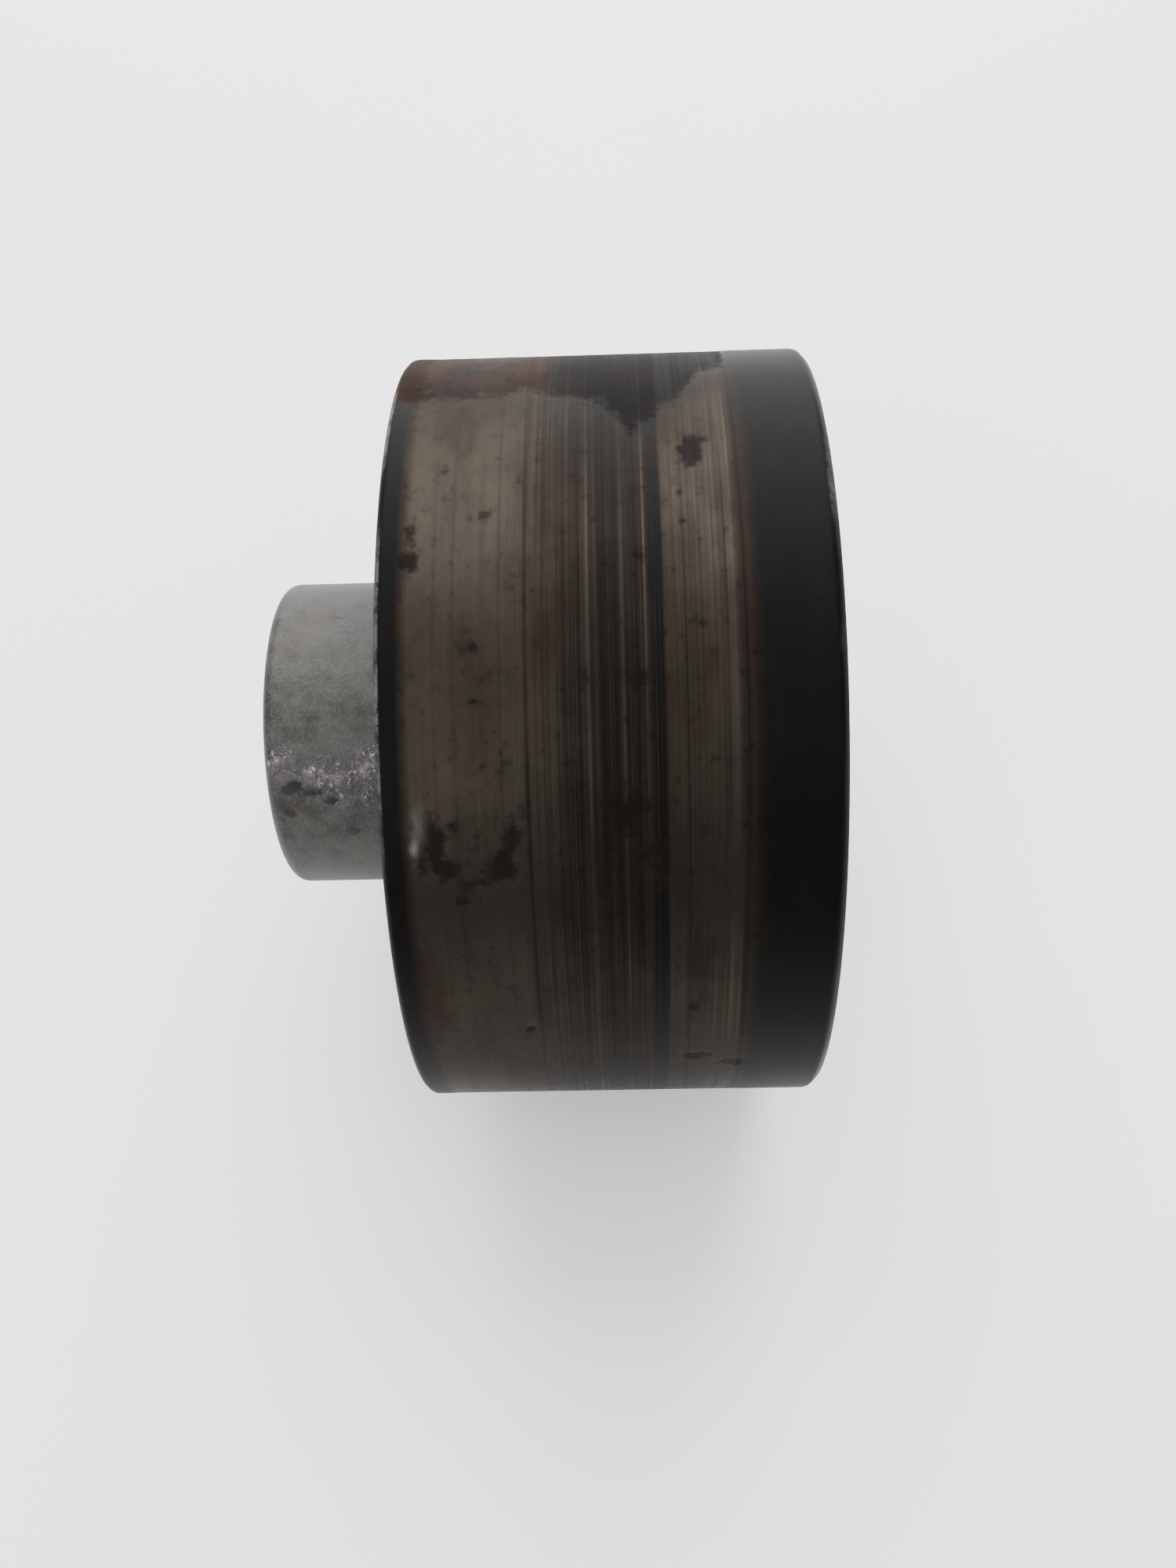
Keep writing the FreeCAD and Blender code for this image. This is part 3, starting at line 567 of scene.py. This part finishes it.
# ---------------------------------------------------------------- mesh helpers
WELD = 1e-7
SLACK = 2e-5
SHARP = math.radians(32)


def off_axis(corner):
    """Distance of a mesh corner from the spin axis."""
    return math.hypot(corner.co.x, corner.co.z)


def opened_copy(node, unwanted):
    """A welded copy of a CAD node's mesh without the faces whose every corner is unwanted."""
    body = bmesh.new()
    body.from_mesh(nodes[node].data)
    bmesh.ops.remove_doubles(body, verts=body.verts, dist=WELD)
    doomed = [face for face in body.faces if all(unwanted(off_axis(v), v.co.y) for v in face.verts)]
    bmesh.ops.delete(body, geom=doomed, context="FACES")
    return body


def add_layers(body, names):
    """Layers of values on the corners; made first, because making one drops every corner held so far."""
    for name in names:
        body.verts.layers.float.new(name)


def open_corners(body):
    """The corners of open edges."""
    return {v for edge in body.edges if edge.is_boundary for v in edge.verts}


def open_rims(body):
    """The radius of each open rim and its place along the axis, smallest first."""
    return sorted({(round(off_axis(v), 5), round(v.co.y, 5)) for v in open_corners(body)})


def rim_corners(body, radius, along):
    """The corners of the open rim of that radius at that place along the axis."""
    return [v for v in open_corners(body)
            if abs(off_axis(v) - radius) < SLACK and abs(v.co.y - along) < SLACK]


def add_skin(body, radius, along, layers):
    """A closed ring of quads through arrays of radius and place along the axis, indexed [row, column]."""
    rows, columns = radius.shape
    angle = np.arange(columns) * (FULL_TURN / columns)
    across = radius * np.cos(angle)
    up = radius * np.sin(angle)
    grid = [[body.verts.new((across[row, c], along[row, c], up[row, c])) for c in range(columns)]
            for row in range(rows)]
    for name, values in layers.items():
        layer = body.verts.layers.float.get(name)
        for ring, ring_values in zip(grid, values):
            for corner, value in zip(ring, ring_values):
                corner[layer] = float(value)
    for ring, following in zip(grid, grid[1:]):
        for c in range(columns):
            d = (c + 1) % columns
            face = body.faces.new((ring[c], ring[d], following[d], following[c]))
            face.smooth = True
    return grid


def stitch(body, first, second):
    """Joins two rings of corners round the axis with triangles, whatever their numbers."""
    def turn(corner):
        return math.atan2(corner.co.z, corner.co.x) % FULL_TURN

    first = sorted(first, key=turn)
    second = sorted(second, key=turn)
    first_turns = [turn(v) for v in first] + [turn(first[0]) + FULL_TURN]
    second_turns = [turn(v) for v in second] + [turn(second[0]) + FULL_TURN]
    a = 0
    b = 0
    while a < len(first) or b < len(second):
        here = first[a % len(first)]
        there = second[b % len(second)]
        if b == len(second) or (a < len(first) and first_turns[a + 1] <= second_turns[b + 1]):
            a += 1
            face = body.faces.new((here, there, first[a % len(first)]))
        else:
            b += 1
            face = body.faces.new((here, there, second[b % len(second)]))
        face.smooth = True


def finish_piece(body, name, material, stands_for, rides_on):
    """Turns the welded mesh into a piece that replaces a CAD node."""
    bmesh.ops.recalc_face_normals(body, faces=body.faces)
    mesh = bpy.data.meshes.new(name)
    body.to_mesh(mesh)
    body.free()
    mesh.shade_smooth()
    mesh.set_sharp_from_angle(angle=SHARP)
    mesh.materials.append(material)
    piece = bpy.data.objects.new(name, mesh)
    bpy.context.scene.collection.objects.link(piece)
    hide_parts(stands_for)
    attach(piece, rides_on)


# ---------------------------------------------------------------- tread
def knocked_rings(random, radii, cuts, angle, count):
    """Rings of that radius round the axis, with shallow knocks where a ring has a cut."""
    rings = []
    for radius, cut in zip(radii, cuts):
        ring = np.full(TREAD_COLUMNS, radius)
        if cut:
            ring -= cut * np.clip(waves(random, angle, count), 0, 2)
        rings.append(ring)
    return np.array(rings)


def make_tread():
    """The shell with its bores as designed and a tread worn in fine relief."""
    mouth = max(off_axis(v) for v in nodes["seal_collar"].data.vertices) + 1.0 * MM
    recess = max(off_axis(v) for v in nodes["end_cover"].data.vertices) + 1.2 * MM
    slack = SLACK / 2

    def outside(radius, along):
        on_inboard_face = abs(along - tread_start) < slack and radius > mouth - slack
        on_outboard_face = abs(along - tread_end) < slack and radius > recess - slack
        return radius > tread_radius - 1.2 * MM or on_inboard_face or on_outboard_face

    body = opened_copy("roller_shell", outside)
    rims = open_rims(body)
    inboard_rim = [rim for rim in rims if abs(rim[1] - tread_start) < slack][0]
    outboard_rim = [rim for rim in rims if abs(rim[1] - tread_end) < slack][0]

    width = tread_width / MM
    edge = tread_radius / MM
    # Rows of the end faces and rims, from the end face's inner rim to the tread and back, in millimetres:
    # radius, place, cut of the knocks, tone, share of bare chips, share of the marks on the tread beside it
    inboard_rows = np.array([
        (inboard_rim[0] / MM + 1.0, 0.0, 0.0, 0.34, 0.0, 0.2),
        (50.0, 0.0, 0.0, 0.34, 0.0, 0.4),
        (edge - INBOARD_CHAMFER - 0.3, 0.0, 0.0, 0.30, 0.0, 0.7),
        (edge - INBOARD_CHAMFER, 0.02, 0.07, 0.16, 0.3, 0.9),
        (edge - 0.12, INBOARD_CHAMFER - 0.12, 0.07, 0.12, 1.0, 1.0),
        (edge, INBOARD_CHAMFER + 0.15, 0.07, 0.12, 0.0, 1.0),
    ])
    outboard_rows = np.array([
        (edge, width - OUTBOARD_CHAMFER - 0.2, 0.10, 0.06, 0.0, 1.0),
        (edge - 0.15, width - OUTBOARD_CHAMFER + 0.15, 0.10, 0.06, 1.0, 1.0),
        (edge - OUTBOARD_CHAMFER, width - 0.03, 0.10, 0.10, 0.3, 0.9),
        (edge - OUTBOARD_CHAMFER - 0.4, width, 0.0, 0.26, 0.0, 0.7),
        (54.0, width, 0.0, 0.32, 0.0, 0.4),
        (outboard_rim[0] / MM + 1.0, width, 0.0, 0.32, 0.0, 0.2),
    ])
    in_radius, in_place, in_cut, in_tone, in_bare, in_share = inboard_rows.T
    out_radius, out_place, out_cut, out_tone, out_bare, out_share = outboard_rows.T

    columns = np.arange(TREAD_COLUMNS) * 360.0 / TREAD_COLUMNS
    place, angle = np.meshgrid(tread_rows(), columns, indexing="ij")
    fields, depth = tread_wear(place, angle)
    random = np.random.default_rng(SEED + 1)
    in_rings = knocked_rings(random, in_radius, in_cut, columns * 5, 5)
    out_rings = knocked_rings(random, out_radius, out_cut, columns * 4, 6)
    in_chips = np.clip(0.18 + 0.8 * waves(random, columns * 3, 6), 0, 1)
    out_chips = np.clip(-0.35 + 0.8 * waves(random, columns * 4, 6), 0, 1)
    flat = np.ones(TREAD_COLUMNS)
    before = {"tone": np.outer(in_tone, flat), "bare_and_glint": np.outer(in_bare, in_chips)}
    after = {"tone": np.outer(out_tone, flat), "bare_and_glint": np.outer(out_bare, out_chips)}
    for name in ("busy", "stain", "red", "spot"):
        before[name] = np.outer(in_share, fields[name][0])
        after[name] = np.outer(out_share, fields[name][-1])
    layers = {name: np.concatenate([before[name], fields[name], after[name]]) for name in fields}
    radius = np.concatenate([in_rings, edge - depth, out_rings])
    along = np.concatenate([np.outer(in_place, flat), place, np.outer(out_place, flat)])

    add_layers(body, layers)
    inboard_corners = rim_corners(body, *inboard_rim)
    outboard_corners = rim_corners(body, *outboard_rim)
    grid = add_skin(body, radius * MM, along * MM + tread_start, layers)
    stitch(body, inboard_corners, grid[0])
    stitch(body, outboard_corners, grid[-1])
    finish_piece(body, "worn_roller_shell", worn_tread(), "roller_shell", "roller")


# ---------------------------------------------------------------- spigot
THREAD_PITCH = 2.5
THREAD_DEPTH = 1.30
THREAD_COLUMNS = 128
THREAD_STEP = 0.25
SPIGOT_COLUMNS = 256
SPIGOT_STEP = 0.3
END_ROUNDING = 2.0
FLAKE_DEPTH = 0.10
RIPPLE_DEPTH = 0.012
SOIL_DEPTH = 0.05
# (millimetres from the spigot's end, angle from FRONT, half width, half height in degrees, strength)
SPIGOT_FLAKES = [
    (9.5, -18.0, 6.0, 8.0, 0.80), (16.5, -15.0, 5.0, 9.0, 0.78), (2.6, -13.0, 3.0, 9.0, 0.70),
    (20.5, -22.0, 3.0, 8.0, 0.72), (14.0, -26.0, 5.0, 6.0, 0.66), (8.0, 150.0, 5.0, 18.0, 0.62),
]
SPIGOT_STAINS = [
    (4.6, -22.0, 2.4, 4.0, 0.90), (7.4, -24.0, 2.2, 3.0, 0.90), (10.0, -27.0, 1.6, 2.2, 0.85),
    (13.0, -40.0, 1.7, 3.0, 0.90), (20.5, -40.0, 1.3, 2.2, 0.90), (3.4, -31.0, 1.8, 5.0, 0.70),
    (12.5, -60.0, 6.0, 5.0, 0.50), (10.4, 43.0, 1.8, 0.9, 0.90), (15.0, 33.0, 2.4, 2.0, 0.55),
    (16.0, -32.0, 1.2, 1.4, 0.80), (18.0, 30.0, 3.0, 5.0, 0.50), (12.0, 170.0, 5.0, 20.0, 0.62),
]


def spigot_marks(along, angle):
    """Flaking, soil and depth (millimetres) over the spigot; along is millimetres from its end."""
    random = np.random.default_rng(SEED + 2)
    flake = strongest(along, angle, SPIGOT_FLAKES, 1.0)
    soil = strongest(along, angle, SPIGOT_STAINS, 1.0)
    hammer = waves(random, angle * 11 + along * 37, 4) * waves(random, angle * 17 - along * 53, 4)
    depth = FLAKE_DEPTH * smooth(flake, 0.25, 0.7) * hammer + RIPPLE_DEPTH * waves(random, angle * 2, 4)
    depth += SOIL_DEPTH * smooth(soil, 0.4, 0.8)
    return flake, soil, depth


def section_arrays(section, columns):
    """Radius, millimetres from the spigot's end and angle over the rows and columns of a skin."""
    angle = np.tile(np.arange(columns) * 360.0 / columns, (len(section), 1))
    radius, along = (np.outer(values, np.ones(columns)) for values in zip(*section))
    return radius, along, angle


def threaded_skin(section):
    """The end hole's wall with a helical thread that runs out at both ends."""
    radius, along, angle = section_arrays(section, THREAD_COLUMNS)
    length = thread_length / MM
    phase = (along / THREAD_PITCH - angle / 360.0) % 1.0
    tooth = np.clip(1.12 - np.abs(phase - 0.5) * 2.6, 0, 1)
    full = smooth(along, 0.8, 2.4) * (1 - smooth(along, length - 3.0, length + 1.0))
    # The hole's wall gets a soil value everywhere, highest in the thread's grooves, so it is drawn darker
    # inside, most in the grooves.
    layers = {"flake": 0 * tooth, "soil": 0.35 + 0.2 * tooth}
    return (radius + THREAD_DEPTH * tooth * full) * MM, along * MM + spigot_start, layers


def spigot_skin(section):
    """The spigot's end face, rounding and side, grained and dented."""
    radius, along, angle = section_arrays(section, SPIGOT_COLUMNS)
    flake, soil, depth = spigot_marks(along, angle)
    layers = {"flake": flake, "soil": soil}
    return (radius - depth * smooth(radius, 18, 25)) * MM, along * MM + spigot_start, layers


def make_axle():
    """The axle with a grained, dented spigot and a real thread in its end."""
    hole_bottom = max(
        v.co.y for v in nodes["axle_shaft"].data.vertices
        if abs(off_axis(v) - thread_core_radius) < SLACK and v.co.y < 20 * MM
    )

    def unwanted(radius, along):
        in_hole = abs(radius - thread_core_radius) < SLACK and along < hole_bottom + SLACK
        on_spigot = along < SLACK and thread_core_radius - SLACK < radius < spigot_radius + SLACK
        on_step = abs(along) < SLACK and radius > spigot_radius - SLACK
        return in_hole or on_spigot or on_step

    body = opened_copy("axle_shaft", unwanted)
    rims = open_rims(body)

    # Sections as (radius, millimetres from the spigot's end): up the hole, then over the face to the seat.
    core = thread_core_radius / MM
    outer = spigot_radius / MM
    bottom = (hole_bottom - spigot_start) / MM
    seat = -spigot_start / MM
    hole = [(core, bottom - 0.6)] + [(core, y) for y in np.arange(bottom - 1.0, 1.9, -THREAD_STEP)]
    hole += [(core + 0.25, 1.65), (core + 1.9, 0.02)]
    face = [(core + 2.1, 0.0), (14.0, 0.0), (17.0, 0.0), (20.0, 0.0), (22.0, 0.0)]
    for at in np.radians(np.linspace(0, 90, 9)):
        face.append((outer - END_ROUNDING * (1 - math.sin(at)), END_ROUNDING * (1 - math.cos(at))))
    face += [(outer, y) for y in np.arange(END_ROUNDING + 0.4, seat - 0.2, SPIGOT_STEP)]
    face += [(outer, seat)]

    add_layers(body, ("flake", "soil"))
    hole_corners = rim_corners(body, *rims[0])
    seat_corners = rim_corners(body, *rims[-1])
    hole_grid = add_skin(body, *threaded_skin(hole))
    face_grid = add_skin(body, *spigot_skin(face))
    stitch(body, hole_corners, hole_grid[0])
    stitch(body, hole_grid[-1], face_grid[0])
    stitch(body, face_grid[-1], seat_corners)
    finish_piece(body, "plated_axle", plated_spigot(), "axle_shaft", "axle")


# ---------------------------------------------------------------- materials of the carried-over nodes
def dress_nodes():
    """A node material for every CAD piece that stays."""
    machined = turned_steel("machined_steel", (0.15, 0.145, 0.14, 1), 0.32)
    by_slot = {
        "tread_steel": machined,
        "plated_steel": machined,
        "machined_steel": machined,
        "bearing_steel": ground_steel(),
        "cage_steel": turned_steel("cage_steel", (0.42, 0.42, 0.43, 1), 0.30, rust=0.02, rings=300),
        "seal_iron": turned_steel("seal_iron", (0.22, 0.22, 0.23, 1), 0.26, rust=0.05),
        "nitrile_rubber": rubber(),
        "cover_steel": cast_steel("cover_steel", (0.017, 0.0162, 0.0155, 1), 0.50, 0.75),
        "bolt_steel": plated_fastener(),
        "spring_steel": turned_steel("spring_steel", (0.085, 0.083, 0.085, 1), 0.36),
        "copper": turned_steel("copper", (0.55, 0.24, 0.13, 1), 0.30, rust=0.02),
    }
    for part in frame["record"]["subparts"]:
        mesh = nodes[part["node"]].data
        mesh.materials.clear()
        mesh.materials.append(by_slot[part["material_slot"]])


# ---------------------------------------------------------------- floor and light
FLOOR_HALF = 9.0
FLOOR_STEPS = 18
LIGHT_AIM = Vector((0, 0.03, 0))


def make_floor():
    """Plain pale floor under the tread."""
    body = bmesh.new()
    bmesh.ops.create_grid(body, x_segments=FLOOR_STEPS, y_segments=FLOOR_STEPS, size=FLOOR_HALF)
    mesh = bpy.data.meshes.new("floor")
    body.to_mesh(mesh)
    body.free()
    mesh.materials.append(pale_floor())
    floor = bpy.data.objects.new("floor", mesh)
    floor.location = (0, 0, shell_low.z)
    bpy.context.scene.collection.objects.link(floor)


def softbox(name, place, size, power):
    """A rectangular area light that points at the middle of the roller."""
    data = bpy.data.lights.new(name, "AREA")
    data.shape = "RECTANGLE"
    data.size, data.size_y = size
    data.energy = power
    light = bpy.data.objects.new(name, data)
    light.location = place
    light.rotation_euler = (LIGHT_AIM - Vector(place)).to_track_quat("-Z", "Y").to_euler()
    bpy.context.scene.collection.objects.link(light)


def make_light():
    """Softboxes behind and overhead, a weak fill from the front, and a dim even surround."""
    softbox("back", (-0.84, 0.03, 0.74), (1.1, 1.6), 46.0)
    softbox("overhead", (0.05, 0.03, 1.35), (2.8, 2.8), 62.0)
    softbox("fill", (1.0, -0.45, 0.74), (0.5, 0.5), 7.0)
    world = bpy.data.worlds.new("surround")
    world.use_nodes = True
    background = world.node_tree.nodes["Background"]
    background.inputs["Color"].default_value = (0.9, 0.95, 1.0, 1)
    background.inputs["Strength"].default_value = 0.28
    bpy.context.scene.world = world


make_camera()
make_floor()
make_light()
dress_nodes()
make_tread()
make_axle()
